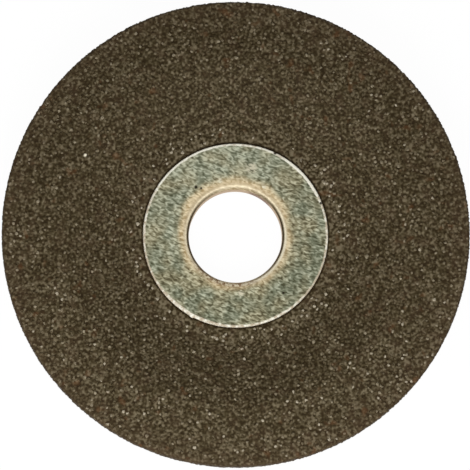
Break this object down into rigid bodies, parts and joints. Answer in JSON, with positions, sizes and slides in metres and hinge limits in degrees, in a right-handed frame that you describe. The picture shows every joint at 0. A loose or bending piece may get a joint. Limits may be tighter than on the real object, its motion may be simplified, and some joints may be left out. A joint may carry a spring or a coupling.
{
  "type": "grinding disc",
  "caption": "Small round grinding disc of moulded abrasive with a depressed centre and a flanged steel ring lining its bore, clamped on the spindle of a small angle grinder.",
  "frame": {"origin": "centre of the bore on the hub's flat back, the plane that the disc rests on", "axes": "+Z along the bore's axis, out of the recess; +X to the right and +Y up in the picture, with nothing on the round disc to tell them apart"},
  "size_m": [0.05, 0.05, 0.0049],
  "materials": {
    "bonded_abrasive": "matte",
    "ring_steel": "satin"
  },
  "bodies": {
    "root": {"abrasive_disc": "bonded_abrasive", "centre_ring": "ring_steel"}
  },
  "joints": []
}
